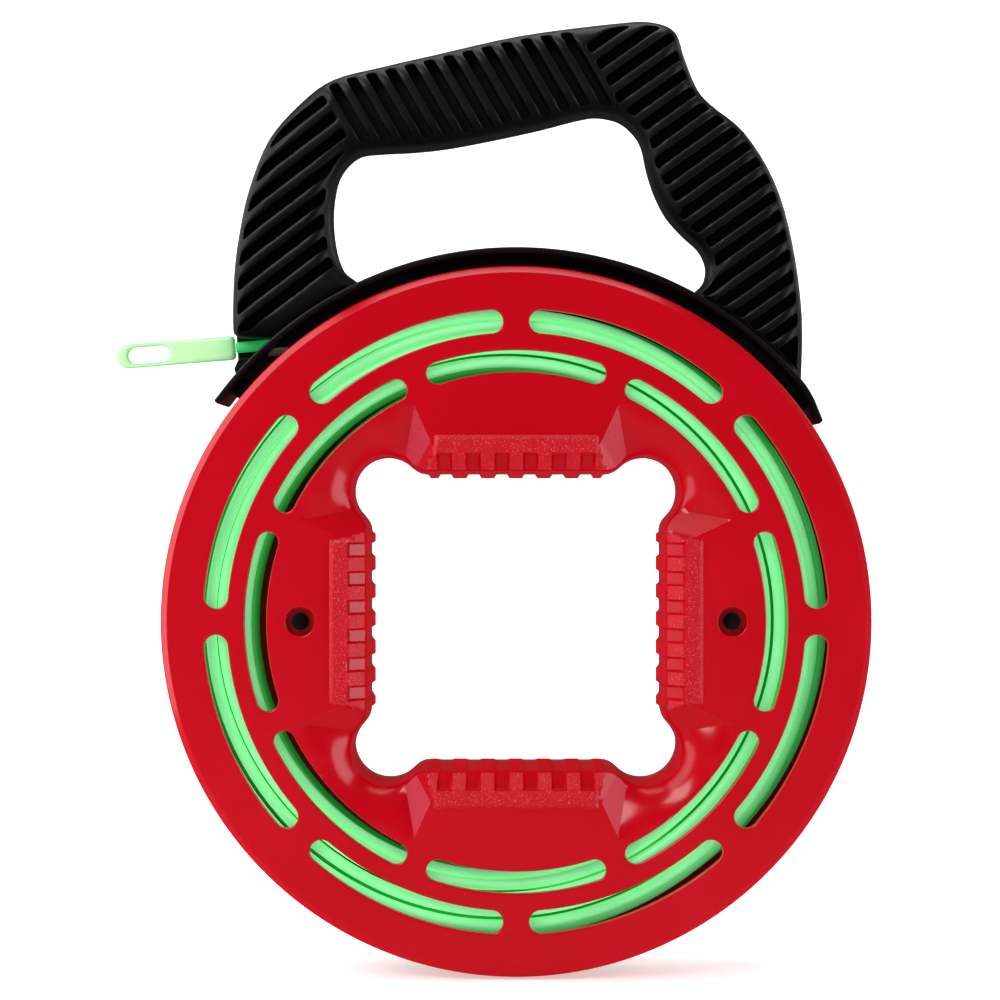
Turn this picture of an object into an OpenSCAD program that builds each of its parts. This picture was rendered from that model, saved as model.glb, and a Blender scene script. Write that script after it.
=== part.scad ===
// Fish tape reel: a two-part case full of round fibreglass tape, turning in the groove of a one-piece handle.
// Frame: origin at the case's centre, spin axis along Y, front face towards -Y, handle up towards +Z.

/* [Case] */
// Diameter of the case
case_d = 305; // [300:1:310]
// Thickness of the case between its two flat faces
case_t = 56; // [54:1:58]
// Wall thickness of the shells
wall = 3; // [2.6:0.1:3]
// Radius of the rounded rim
rim_round = 4; // [3:0.5:5]
// Width of the gap round the rim, which the handle's web runs in
rim_gap = 12; // [12:0.5:13]
// Outer radius of the hub wall, which the tape lies round
hub_r = 102; // [101.6:0.1:102.4]

/* [Slots] */
// Slots in each of the two rings
slot_count = 8; // [6:1:8]
// Middle radius of the outer ring of slots
outer_slot_r = 128.2; // [127:0.1:129]
// Width of an outer slot
outer_slot_w = 10; // [8:0.5:11]
// Middle radius of the inner ring of slots
inner_slot_r = 111; // [110:0.5:112]
// Width of an inner slot
inner_slot_w = 9.2; // [8:0.2:10]
// Half the angle that a slot covers, up to its rounded tips
slot_half_angle = 20; // [16:0.5:20]

/* [Centre opening] */
// Half the width of the square opening, measured between the ribs
opening_half = 64.3; // [64:0.1:64.6]
// Distance of each corner notch's centre from the case's middle, along both sides
notch_at = 55.5; // [55:0.1:56]
// Radius of the corner notches
notch_r = 15.5; // [15:0.1:16]
// Radius of the rounding from the face into a corner notch
corner_round = 10.5; // [9:0.5:11]

/* [Grip bars] */
// Height of the grip bars above the face
bar_proud = 1.5; // [1:0.1:2]
// Distance of a bar's outer edge from the case's middle
bar_outer = 79.5; // [78:0.5:80]
// Half the length of a bar at the opening
bar_half_inner = 37.5; // [37:0.5:38]
// Half the length of a bar at its outer edge
bar_half_outer = 33.5; // [33:0.5:34]
// Width of the sloping band between the opening's wall and the bar's flat top
bar_slope = 7; // [6:0.5:8]
// How far the ribs stand above the windows between them
rib_proud = 1.6; // [1:0.1:1.8]
// Windows in each bar
window_count = 6; // [4:1:6]
// Distance from one window to the next
window_pitch = 12.2; // [11.5:0.1:12.2]
// Width of a window
window_w = 5.8; // [5:0.1:6]

/* [Case screws] */
// Distance of each case screw from the spin axis
screw_at = 92; // [91.5:0.1:92]
// Radius of a screw's counterbore
counterbore_r = 6.2; // [5.5:0.1:6.2]
// Depth of a screw's counterbore
counterbore_depth = 5; // [4:0.5:6]
// Radius of a screw's head
screw_head_r = 3.65; // [3:0.05:4]
// Radius of a screw's shank
screw_r = 1.85; // [1.6:0.05:1.85]

/* [Handle] */
// Thickness of the handle
handle_t = 36; // [34:1:38]
// Depth of the grooves in each side of the handle
groove_depth = 12; // [10:0.5:13]
// Width of a groove
groove_w = 4.6; // [4.2:0.1:4.8]
// Distance from one groove to the next
groove_pitch = 8.15; // [8:0.05:8.2]
// Wall left between the grooves' ends and the handle's edge
groove_border = 2.2; // [2:0.1:2.6]
// Outer radius of the saddle
saddle_r = 160.4; // [160.2:0.1:160.6]
// Thickness of the saddle's flange
saddle_t = 2.6; // [2.4:0.1:2.8]
// Width of the saddle's flange
saddle_w = 40; // [38:1:42]
// Clearance between the handle and the case
running_gap = 0.3; // [0.3:0.05:0.35]

/* [Tape] */
// Diameter of the fibreglass tape
tape_d = 4.76; // [4.6:0.02:4.76]
// Radius that the straight run leaves the winding at
wind_r = 128; // [127.9:0.1:128.1]
// Angle of the run below level
run_angle = 4.7; // [4.6:0.1:4.8]
// Turns of tape in the case
turns = 16; // [15:1:19]
// Length of the straight run, from the winding to the leader's shoulder
run_length = 112.4; // [112.2:0.1:112.6]

/* [Leader] */
// Length of the leader
leader_length = 52.1; // [51:0.1:53]
// Height of the leader
leader_w = 10.6; // [10.4:0.1:10.6]
// Thickness of the leader
leader_t = 5; // [4.8:0.1:5.4]
// Length of the eye
eye_length = 17.9; // [15:0.1:18]
// Height of the eye
eye_w = 7; // [6:0.1:7]
// Distance from the leader's tip to the eye
eye_margin = 5.2; // [5:0.1:6]

/* [Hidden] */
$fn = 96;

case_r = case_d / 2;
half_t = case_t / 2;
bar_top = half_t + bar_proud;
rib_half = opening_half - rib_proud;
past = 5;
far = 400;

// Handle: the outline runs up from the lower left corner, over the top and down to the lower right corner.
handle_outline = [
    [-120.8, 120.6], [-122.8, 124], [-122.2, 149], [-119.8, 168], [-115.5, 187], [-107, 208], [-93, 224],
    [-79, 234], [-58, 239.5], [-34, 245], [2, 253], [43, 258.3], [59, 258.8], [69, 254.5], [73, 243.5],
    [78, 231], [84, 223.5], [99, 211], [112, 190], [119.7, 164], [124, 132], [123.6, 101]];
// The hand hole runs from the saddle's left part up, over and down to its right part.
hole_outline = [
    [-68.5, 146.2], [-74.5, 151], [-78.3, 160], [-80, 173], [-79.3, 185], [-76.3, 195], [-69, 202.3],
    [-60, 203.9], [-44, 204.8], [-26, 207], [6, 213.5], [27, 218.8], [36, 220], [45, 218], [51, 213.3],
    [55, 207], [57.5, 196], [61, 185.5], [66, 176], [73, 168], [80, 161.5], [83.2, 155], [83, 149],
    [80.5, 144.8], [76, 141.8]];
outline_steps = 4;
hole_start = 61.8;
hole_end = 115.1;
body_r = 158.5;
body_start = 39.3;
body_end = 129.6;
// Groove families: [direction in degrees, distance of the first groove from the centre, count]
left_grooves = [37.3, 228.2, 8];
top_grooves = [-60, 47.1, 13];
right_grooves = [35.4, 182.35, 19];
// Height below which the right leg's grooves run to its inner edge, and the top grooves stop
leg_top = 175;
left_zone_end = 41.3;
right_zone_start = 149.6;
groove_floor_r = 161.6;
// The toe of the right leg is one pocket, below the last rib.
toe_pocket = right_grooves[1] - right_grooves[2] * groove_pitch + groove_w / 2;

web_w = rim_gap - 4 * running_gap;
foot_r = case_r - wall - running_gap;
foot_t = 3.2;
foot_w = 36;
saddle_start = 33;
saddle_end = 144;
web_start = 36;
web_end = 141.5;
foot_start = 40;
foot_end = 140;
mouth_r = case_r + 0.8;
jaw_half_w = 14;
mouth_above = 3.2;
mouth_below = 5.4;
mouth_back = 3.4;
tunnel_r = 2.9;

tape_r = tape_d / 2;
column_pitch = 9;
inner_turn_r = 107;
turn_step = 2;
free_turn = 13;
free_turn_angle = 280;
anchor_angle = 250;
anchor_column = 1;
inner_turn_angle = 330;
ferrule_r = 3.4;
ferrule_length = 16;
clip_outer = 111.2;
clip_from = 3;
clip_length = 10;
clip_w = 17;
clip_screw_at = 8;
clip_screw_r = 1.4;
fit_gap = 0.05;

// Points of a smooth curve that passes through every point of a list.
function between(a, b, c, d, t) =
    0.5 * (2 * b + (c - a) * t + (2 * a - 5 * b + 4 * c - d) * t * t + (3 * b - 3 * c + d - a) * t * t * t);
function smooth(p) = let (
    last = len(p) - 1,
    q = concat([2 * p[0] - p[1]], p, [2 * p[last] - p[last - 1]])
) concat([for (i = [0:last - 1], s = [0:outline_steps - 1])
    between(q[i], q[i + 1], q[i + 2], q[i + 3], s / outline_steps)], [p[last]]);

// Points of an arc about the origin.
function arc(r, from, to, steps = 24) =
    [for (i = [0:steps]) let (a = from + (to - from) * i / steps) [r * cos(a), r * sin(a)]];

// The points of a line between its ends, moved sideways to the left of its direction.
function moved(p, d, first = 1) =
    [for (i = [first:len(p) - 2]) let (v = p[i + 1] - p[i - 1], u = v / norm(v)) p[i] + d * [-u[1], u[0]]];

// Everything drawn flat in X and Z faces the front: its height goes towards -Y.
module facing_front() {
    rotate([90, 0, 0]) children();
}

// A flat shape made as thick as w, centred on the case's middle plane.
module plate(w) {
    facing_front() linear_extrude(w, center = true) children();
}

// A frame whose X runs along the tape from where it leaves the winding, and whose Z points to the spin axis.
module along_tape() {
    translate([-wind_r * sin(run_angle), 0, wind_r * cos(run_angle)])
        rotate([0, 180 - run_angle, 0]) children();
}

// A flat sector of a ring.
module sector(inner, outer, from, to) {
    intersection() {
        difference() {
            circle(outer);
            circle(inner);
        }
        polygon(concat([[0, 0]], arc(2 * outer, from, to, 6)));
    }
}

// A curved slot with round ends, centred on the X axis. The ends are a hair narrower than the slot, so that no
// edges meet at a tangent.
module arc_slot(r, w) {
    end = slot_half_angle - asin(w / 2 / r);
    intersection() {
        difference() {
            circle(r + w / 2);
            circle(r - w / 2);
        }
        polygon([[0, 0], [2 * r * cos(end), -2 * r * sin(end)], [2 * r * cos(end), 2 * r * sin(end)]]);
    }
    for (side = [-1, 1])
        rotate(side * end) translate([r, 0]) circle(w / 2 - fit_gap);
}

module all_slots() {
    for (i = [0:slot_count - 1]) {
        rotate((i + 0.5) * 360 / slot_count) arc_slot(outer_slot_r, outer_slot_w);
        rotate(i * 360 / slot_count) arc_slot(inner_slot_r, inner_slot_w);
    }
}

// The centre opening, grown by one amount at its sides and by another at its corner notches.
module opening(grow = 0, notch_grow = 0) {
    square(2 * (opening_half + grow), center = true);
    for (x = [-1, 1], y = [-1, 1])
        translate([x * notch_at, y * notch_at]) circle(notch_r + notch_grow);
}

// The rounding from the face down into one corner notch.
module corner_rounding() {
    edge = notch_r + corner_round;
    intersection() {
        translate([notch_at, notch_at, 0])
            rotate_extrude() polygon([
                [0, half_t + past], [edge, half_t + past], [edge, half_t],
                for (a = [80:-10:10]) [edge - corner_round * cos(a), half_t - corner_round * (1 - sin(a))],
                [notch_r, half_t - corner_round], [0, half_t - corner_round]]);
        translate([bar_half_inner + rim_round, bar_half_inner + rim_round, 0]) cube(far);
    }
}

// One grip bar at +Y of the facing frame, with its ribs and windows.
module grip_bar() {
    slope_foot = bar_top - bar_slope;
    chamfer = bar_proud;
    difference() {
        intersection() {
            rotate([90, 0, 90]) linear_extrude(2 * bar_half_inner, center = true) polygon([
                [rib_half, 0], [rib_half, slope_foot], [rib_half + bar_slope, bar_top],
                [bar_outer - chamfer, bar_top], [bar_outer, half_t], [bar_outer, half_t - wall + 1],
                [rib_half + bar_slope + 1, half_t - wall + 1], [rib_half + wall + 1, slope_foot - 1],
                [rib_half + wall + 1, 0]]);
            linear_extrude(far) polygon([
                [-bar_half_inner, 0], [bar_half_inner, 0], [bar_half_inner, rib_half],
                [bar_half_outer, bar_outer], [-bar_half_outer, bar_outer], [-bar_half_inner, rib_half]]);
        }
        for (i = [0:window_count - 1])
            translate([(i - (window_count - 1) / 2) * window_pitch, 0, 0])
                rotate([90, 0, 90]) linear_extrude(window_w, center = true) polygon([
                    [0, -1], [opening_half, -1], [opening_half, slope_foot + 0.6 - rib_proud],
                    [rib_half + bar_slope, bar_top - 2 * rib_proud + 0.6], [rib_half + bar_slope, far], [0, far]]);
    }
}

// What both halves of the case have, with the middle plane at the bottom and the outer face at the top.
module case_half() {
    difference() {
        union() {
            difference() {
                rotate_extrude($fn = 180) polygon([
                    [0, 0], [hub_r, 0], [hub_r, half_t - wall], [case_r - wall, half_t - wall],
                    [case_r - wall, rim_gap / 2], [case_r, rim_gap / 2], [case_r, half_t - rim_round],
                    for (a = [15:15:75])
                        [case_r - rim_round * (1 - cos(a)), half_t - rim_round * (1 - sin(a))],
                    [case_r - rim_round, half_t], [0, half_t]]);
                translate([0, 0, -1]) linear_extrude(half_t - wall + 1) difference() {
                    circle(hub_r - wall);
                    opening(wall + 0.3, corner_round + 0.5);
                }
            }
            for (side = [-1, 1])
                translate([side * screw_at, 0, 0]) cylinder(r = counterbore_r + 1.4, h = half_t - wall);
        }
        translate([0, 0, -1]) linear_extrude(far) opening();
        for (i = [0:3])
            rotate(90 * i) {
                corner_rounding();
                rotate([90, 0, 90]) linear_extrude(2 * bar_half_inner, center = true) polygon([
                    [0, bar_top - bar_slope], [rib_half, bar_top - bar_slope],
                    [rib_half + bar_slope + past, bar_top + past], [0, bar_top + past]]);
            }
    }
    for (i = [0:3])
        rotate(90 * i) grip_bar();
}

module front_shell() {
    color("crimson") facing_front() difference() {
        case_half();
        translate([0, 0, half_t - wall - 1]) linear_extrude(far) all_slots();
        for (side = [-1, 1])
            translate([side * screw_at, 0, 0]) {
                translate([0, 0, half_t - counterbore_depth]) cylinder(r = counterbore_r, h = far);
                translate([0, 0, -1]) cylinder(r = screw_r + 5 * fit_gap, h = far);
            }
    }
}

module rear_shell() {
    color("crimson") difference() {
        facing_front() mirror([0, 0, 1]) difference() {
            case_half();
            for (side = [-1, 1])
                translate([side * screw_at, 0, -1]) cylinder(r = screw_r + fit_gap, h = 13);
        }
        at_anchor() translate([0, -clip_from - clip_length / 2, -clip_screw_at])
            rotate([0, 90, 0]) cylinder(r = clip_screw_r + fit_gap, h = clip_outer);
    }
}

module case_screw(side) {
    head_h = 2.4;
    recess = 1.2;
    color("black") facing_front() translate([side * screw_at, 0, half_t - counterbore_depth]) difference() {
        union() {
            cylinder(r = screw_head_r, h = head_h);
            translate([0, 0, -half_t - 3]) cylinder(r = screw_r, h = half_t + 3);
        }
        for (i = [0:1])
            rotate(90 * i) translate([0, 0, head_h]) cube([2 * screw_r, 0.9, 2 * recess], center = true);
    }
}

// The frame of the tape's anchor: X points away from the spin axis, Y along the innermost turn, and the origin's
// height is the tape's column in the case.
module at_anchor() {
    facing_front() rotate(anchor_angle) translate([0, 0, -anchor_column * column_pitch]) children();
}

// The column of a turn, counted from the middle of the case towards the rear.
function column(i) = i == 0 ? anchor_column : (i - 1) % 5 - 2;

module turn(i) {
    r = inner_turn_r + turn_step * i;
    facing_front() translate([0, 0, -column(i) * column_pitch])
        if (i == 0)
            rotate(anchor_angle) rotate_extrude(angle = inner_turn_angle) translate([r, 0]) circle(tape_r);
        else if (i == free_turn)
            rotate(90 + run_angle - free_turn_angle)
                rotate_extrude(angle = free_turn_angle) translate([wind_r, 0]) circle(tape_r);
        else if (column(i) == 0 && r > wind_r)
            translate([0, 0, -column_pitch]) rotate_extrude() translate([r, 0]) circle(tape_r);
        else
            rotate_extrude() translate([r, 0]) circle(tape_r);
}

module tape_coil() {
    color("lightgreen") for (i = [0:turns - 1]) turn(i);
}

module tape_ferrule() {
    color("silver") at_anchor() translate([inner_turn_r, 0, 0])
        rotate([90, 0, 0]) cylinder(r = ferrule_r, h = ferrule_length);
}

module anchor_clip() {
    color("silver") difference() {
        at_anchor() translate([hub_r - 2, -clip_from - clip_length, ferrule_r + 1.1 - clip_w])
            cube([clip_outer - hub_r + 2, clip_length, clip_w]);
        facing_front() cylinder(r = hub_r + fit_gap, h = far, center = true);
        at_anchor() {
            translate([inner_turn_r, 1, 0]) rotate([90, 0, 0]) cylinder(r = ferrule_r + fit_gap, h = far);
            translate([0, -clip_from - clip_length / 2, -clip_screw_at])
                rotate([0, 90, 0]) cylinder(r = clip_screw_r + fit_gap, h = far);
        }
    }
}

module anchor_screw() {
    head_h = 1.6;
    color("dimgray") at_anchor()
        translate([clip_outer, -clip_from - clip_length / 2, -clip_screw_at]) rotate([0, 90, 0]) difference() {
            union() {
                translate([0, 0, fit_gap]) cylinder(r = 2 * clip_screw_r, h = head_h);
                translate([0, 0, hub_r - clip_outer - 6]) cylinder(r = clip_screw_r, h = 16);
            }
            translate([0, 0, head_h]) cube([far, 0.6, 1], center = true);
            translate([0, 0, head_h + fit_gap]) cylinder(r = 3 * clip_screw_r, h = far);
        }
}

// The handle's flat shape, down to the underside of the saddle.
module handle_shape() {
    difference() {
        polygon(concat(smooth(handle_outline), arc(body_r, body_start, body_end)));
        polygon(concat(smooth(hole_outline), arc(saddle_r - 1, hole_start, hole_end)));
    }
}

// The strip of the plane between two distances along the direction at right angles to a groove family.
module band(family, from, to) {
    rotate(family[0]) translate([-far, from]) square([2 * far, to - from]);
}

module groove_family(family) {
    step = family[0] < 0 ? groove_pitch : -groove_pitch;
    for (i = [0:family[2] - 1])
        band(family, family[1] + i * step - groove_w / 2, family[1] + i * step + groove_w / 2);
}

module grooves() {
    intersection() {
        difference() {
            polygon(concat(moved(smooth(handle_outline), -groove_border, outline_steps), [[90, 100], [-95, 126.4]]));
            polygon(concat(moved(smooth(hole_outline), groove_border), [[60, 120], [-60, 130]]));
            circle(groove_floor_r);
        }
        union() {
            intersection() {
                groove_family(left_grooves);
                band(top_grooves, -far, left_zone_end);
            }
            intersection() {
                groove_family(top_grooves);
                translate([-far, leg_top]) square([2 * far, far]);
            }
            intersection() {
                union() {
                    groove_family(right_grooves);
                    band(right_grooves, -far, toe_pocket);
                }
                union() {
                    band(top_grooves, right_zone_start, far);
                    translate([0, leg_top - far]) square(far);
                }
            }
        }
    }
}

// The block below the handle's left leg that holds the mouth, and the lower jaw under the tape.
module jaw_shape() {
    difference() {
        polygon([[-90, 122], [-112, 100], [-118.7, 105.2], [-120.6, 105], [-121.6, 108.5], [-119.8, 112.5],
                 [-120.6, 123], [-99, 125]]);
        circle(mouth_r);
    }
}

module handle() {
    color([0.06, 0.06, 0.07]) difference() {
        union() {
            plate(handle_t) handle_shape();
            plate(saddle_w) sector(saddle_r - saddle_t, saddle_r, saddle_start, saddle_end);
            plate(web_w) sector(foot_r - 1, saddle_r - 1, web_start, web_end);
            plate(foot_w) sector(foot_r - foot_t, foot_r, foot_start, foot_end);
            plate(2 * jaw_half_w) jaw_shape();
        }
        for (side = [0, 1])
            mirror([0, side, 0]) translate([0, groove_depth - handle_t / 2, 0])
                facing_front() linear_extrude(far) grooves();
        difference() {
            along_tape() translate([0, -far, -mouth_above])
                cube([far, far + mouth_back, mouth_above + mouth_below]);
            facing_front() cylinder(r = mouth_r - 0.2, h = 3 * far, center = true);
        }
        along_tape() rotate([0, 90, 0]) cylinder(r = tunnel_r, h = far);
    }
}

module tape_guide() {
    guide_from = 89;
    guide_length = 9;
    guide_w = 9.4;
    guide_lip = 2;
    color("tan") difference() {
        along_tape() translate([guide_from, mouth_back - fit_gap - guide_w, guide_lip])
            cube([guide_length, guide_w, mouth_below - guide_lip - fit_gap]);
        facing_front() cylinder(r = mouth_r + fit_gap, h = 3 * far, center = true);
        along_tape() rotate([0, 90, 0]) cylinder(r = tape_r + running_gap, h = far);
    }
}

module tape_run() {
    color("lightgreen") along_tape() translate([running_gap, 0, 0])
        rotate([0, 90, 0]) cylinder(r = tape_r, h = run_length - 2 * running_gap);
}

module leader() {
    tip_r = leader_w / 2;
    corner = 2.5;
    eye_r = eye_w / 2;
    color("palegreen") along_tape() translate([run_length, 0, 0]) plate(leader_t) difference() {
        union() {
            translate([corner, -tip_r]) square([leader_length - tip_r - corner, leader_w]);
            translate([0, corner - tip_r]) square([leader_length / 2, leader_w - 2 * corner]);
            translate([leader_length - tip_r, 0]) circle(tip_r);
            for (side = [-1, 1])
                translate([corner, side * (tip_r - corner)]) circle(corner);
        }
        translate([leader_length - eye_margin - eye_length + eye_r, -eye_r])
            square([eye_length - eye_w, eye_w]);
        for (x = [leader_length - eye_margin - eye_r, leader_length - eye_margin - eye_length + eye_r])
            translate([x, 0]) circle(eye_r);
    }
}

handle();
tape_guide();
front_shell();
rear_shell();
case_screw(-1);  // case_screw_left
case_screw(1);  // case_screw_right
tape_coil();
tape_ferrule();
anchor_clip();
anchor_screw();
tape_run();
leader();
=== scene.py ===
import math

import bpy
import numpy as np
from mathutils import Matrix, Vector


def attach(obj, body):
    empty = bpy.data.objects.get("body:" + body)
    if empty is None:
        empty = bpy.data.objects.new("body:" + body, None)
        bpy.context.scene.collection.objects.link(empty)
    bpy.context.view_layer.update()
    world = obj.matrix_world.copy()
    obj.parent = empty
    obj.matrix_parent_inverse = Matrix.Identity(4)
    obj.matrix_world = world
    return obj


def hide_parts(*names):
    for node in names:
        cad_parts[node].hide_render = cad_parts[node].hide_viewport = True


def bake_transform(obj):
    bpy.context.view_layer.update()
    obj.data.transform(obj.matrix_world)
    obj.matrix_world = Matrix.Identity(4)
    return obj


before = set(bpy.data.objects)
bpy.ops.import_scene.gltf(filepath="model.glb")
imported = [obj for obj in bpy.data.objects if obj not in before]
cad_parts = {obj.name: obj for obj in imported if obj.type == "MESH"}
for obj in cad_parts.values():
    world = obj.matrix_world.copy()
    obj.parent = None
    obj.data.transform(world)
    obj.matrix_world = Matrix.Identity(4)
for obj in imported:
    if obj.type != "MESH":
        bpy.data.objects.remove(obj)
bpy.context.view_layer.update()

# Everything below is measured in millimetres in the frame of the reel: x to the right, y to the back,
# z up, with the origin on the spin axis. It is scaled to metres where a mesh or a light is made.
MM = 0.001

# ---------------------------------------------------------------- camera
camera_data = bpy.data.cameras.new("camera")
camera_data.lens = 82.3
camera_data.sensor_width = 36
camera_data.clip_end = 20
camera = bpy.data.objects.new("camera", camera_data)
camera.location = Vector((-6.9, -1000, 51.8)) * MM
camera.rotation_euler = (math.pi / 2, 0, 0)
bpy.context.scene.collection.objects.link(camera)
bpy.context.scene.camera = camera


# ---------------------------------------------------------------- materials
class Nodes:
    """A material with its shader, and short ways to add the nodes that feed it."""

    def __init__(self, name, **values):
        self.material = bpy.data.materials.new(name)
        self.material.use_nodes = True
        self.tree = self.material.node_tree
        self.shader = self.tree.nodes["Principled BSDF"]
        for key, value in values.items():
            self.shader.inputs[key.replace("_", " ")].default_value = value

    def add(self, kind, inputs=None, **settings):
        node = self.tree.nodes.new(kind)
        for key, value in settings.items():
            setattr(node, key, value)
        for key, value in (inputs or {}).items():
            if isinstance(value, bpy.types.NodeSocket):
                self.tree.links.new(value, node.inputs[key])
            else:
                node.inputs[key].default_value = value
        return node

    def place(self, scale=(1, 1, 1)):
        """Positions in the reel's own frame, in metres, which stay put as a piece moves."""
        where = self.add("ShaderNodeTexCoord").outputs["Object"]
        return self.add("ShaderNodeMapping", {"Vector": where, "Scale": scale}).outputs["Vector"]

    def noise(self, scale, detail=3, vector=None, roughness=0.5):
        vector = vector or self.place()
        settings = {"Scale": scale, "Detail": detail, "Roughness": roughness}
        return self.add("ShaderNodeTexNoise", {"Vector": vector, **settings}).outputs["Fac"]

    def ramp(self, value, low, high, from_low=0.0, from_high=1.0):
        limits = {"From Min": from_low, "From Max": from_high, "To Min": low, "To Max": high}
        return self.add("ShaderNodeMapRange", {"Value": value, **limits}).outputs["Result"]

    def math(self, operation, a, b):
        return self.add("ShaderNodeMath", {0: a, 1: b}, operation=operation).outputs[0]

    def mix(self, factor, a, b):
        node = self.add("ShaderNodeMix", {"Factor": factor, "A": a, "B": b}, data_type="RGBA")
        return node.outputs["Result"]

    def bump(self, height, strength, distance):
        node = self.add("ShaderNodeBump", {"Height": height, "Strength": strength, "Distance": distance})
        return node.outputs["Normal"]

    def feed(self, **sockets):
        for key, socket in sockets.items():
            self.tree.links.new(socket, self.shader.inputs[key.replace("_", " ")])
        return self.material


def red_plastic():
    """Glossy red mouldings. A face attribute is 1 on the stippled grips, 2 on the finely textured facets
    beside them, 0 on the smooth faces and -1 on the matt walls of the opening. The pale specks of the
    grips' stipple are painted glints, and the facets' fine texture is a lighter pink that is painted
    sheen."""
    m = Nodes("red_plastic", IOR=1.5)
    grain_and_painted_light = m.add("ShaderNodeAttribute", attribute_name="grain_and_painted_light").outputs["Fac"]
    stippled = m.ramp(grain_and_painted_light, 0, 1)
    facet = m.ramp(grain_and_painted_light, 0, 1, 1, 2)
    cloud = m.noise(18, 2)
    fine = m.noise(2600, 2)
    speckle = m.noise(1450, 1)
    base = m.mix(m.ramp(cloud, 0, 1, 0.3, 0.7), (0.53, 0.0, 0.006, 1), (0.58, 0.0, 0.01, 1))
    # Painted glints: the stipple's pale pink specks stand in for highlights on the grain, which is real.
    stipple_and_glints = m.mix(m.ramp(speckle, 0, 1, 0.6, 0.72), (0.58, 0.0, 0.01, 1), (0.84, 0.09, 0.13, 1))
    # Painted sheen: the facets' real fine texture is mixed to a lighter pink that stands in for the light
    # they catch.
    weave_and_sheen = m.mix(m.ramp(fine, 0, 1, 0.35, 0.65), (0.5, 0.0, 0.012, 1), (0.64, 0.03, 0.07, 1))
    colour = m.mix(facet, m.mix(stippled, base, stipple_and_glints), weave_and_sheen)
    rougher = m.math("MULTIPLY", stippled, m.ramp(fine, 0.08, 0.22))
    rough = m.math("ADD", m.ramp(cloud, 0.16, 0.22), rougher)
    pits = m.math("MULTIPLY", stippled, m.mix(facet, speckle, m.math("MULTIPLY", fine, 0.4)))
    heights = m.math("ADD", m.math("MULTIPLY", m.noise(220, 2), 0.02), pits)
    return m.feed(Base_Color=colour, Roughness=rough, Specular_IOR_Level=m.ramp(grain_and_painted_light, 0.03, 0.4, -1, 0),
                  Normal=m.bump(heights, 0.8, 0.0004))


def black_plastic():
    m = Nodes("black_plastic", IOR=1.48, Specular_IOR_Level=0.22)
    cloud = m.noise(25, 3)
    fine = m.noise(1100, 3, roughness=0.6)
    cloudy = m.ramp(cloud, 0, 1, 0.3, 0.7)
    colour = m.mix(cloudy, (0.0025, 0.0025, 0.003, 1), (0.005, 0.005, 0.0055, 1))
    rough = m.math("ADD", m.ramp(cloud, 0.3, 0.38), m.ramp(fine, 0.0, 0.12))
    heights = m.math("ADD", fine, m.noise(160, 2))
    return m.feed(Base_Color=colour, Roughness=rough, Normal=m.bump(heights, 0.35, 0.00012))


def tape_plastic(name, dark, light, glow, strength, fibre=(60, 60, 900), depth_glow_and_shade=False, rim=False):
    """Pultruded fibreglass or the translucent leader: pale, a little see-through, with fine lengthwise
    fibres, and a painted glow from its emission, though it is no lamp. When the depth flag is set, the
    painted glow is strongest on the turns next to the case's face, and the turns behind them are painted
    dark green, a painted shade, with a dim green painted glow. When rim is set, a face attribute says how
    much painted shade a face gets, more near its edge and its shoulder, and there it is painted a darker
    green with less glow."""
    # The emission is a painted glow: the fibreglass gives off light of its own, though it is no lamp.
    m = Nodes(name, IOR=1.5, Coat_Weight=0.3, Coat_Roughness=0.2,
              Subsurface_Weight=0.35, Subsurface_Scale=0.004, Subsurface_Radius=(0.4, 1.0, 0.5),
              Emission_Color=glow, Emission_Strength=strength)
    cloud = m.noise(35, 2)
    fibres = m.noise(1, 3, m.place(fibre), 0.6)
    colour = m.mix(m.ramp(cloud, 0, 1, 0.3, 0.7), dark, light)
    if depth_glow_and_shade:
        depth = m.add("ShaderNodeSeparateXYZ", {"Vector": m.place()}).outputs["Y"]
        # Painted shade: the turns behind the front layer are mixed towards dark green, and their painted
        # glow dims to a deep green.
        behind = m.ramp(depth, 0, 1, -0.019, -0.014)
        colour = m.mix(behind, colour, (0.02, 0.3, 0.05, 1))
        glows = m.mix(behind, glow, (0.01, 0.5, 0.05, 1))
        m.feed(Emission_Strength=m.ramp(depth, strength, 0.2, -0.019, -0.008), Emission_Color=glows)
    if rim:
        edge = m.add("ShaderNodeAttribute", attribute_name="grain_and_painted_light").outputs["Fac"]
        # Painted shade: faces marked near the leader's edge and shoulder are mixed to a darker green, and
        # their painted glow drops.
        colour = m.mix(edge, colour, (0.16, 0.7, 0.26, 1))
        m.feed(Emission_Strength=m.ramp(edge, strength, 0.08))
    rough = m.math("ADD", m.ramp(cloud, 0.26, 0.36), m.ramp(fibres, 0.0, 0.12))
    return m.feed(Base_Color=colour, Roughness=rough, Normal=m.bump(fibres, 0.25, 0.0001))


def worn_metal(name, dark, light, rough_low, rough_high):
    m = Nodes(name, Metallic=1.0)
    cloud = m.noise(120, 4, roughness=0.7)
    fine = m.noise(2500, 3)
    colour = m.mix(m.ramp(cloud, 0, 1, 0.35, 0.7), dark, light)
    rough = m.ramp(m.math("MULTIPLY", cloud, fine), rough_low, rough_high, 0.1, 0.4)
    return m.feed(Base_Color=colour, Roughness=rough, Normal=m.bump(fine, 0.3, 0.00008))


def guide_plastic():
    m = Nodes("guide_plastic", IOR=1.5)
    cloud = m.noise(150, 3)
    fine = m.noise(1800, 2)
    colour = m.mix(m.ramp(cloud, 0, 1, 0.3, 0.7), (0.78, 0.7, 0.58, 1), (0.88, 0.82, 0.7, 1))
    return m.feed(Base_Color=colour, Roughness=m.ramp(fine, 0.35, 0.5),
                  Normal=m.bump(fine, 0.3, 0.0001))


RED = red_plastic()
BLACK = black_plastic()
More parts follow.
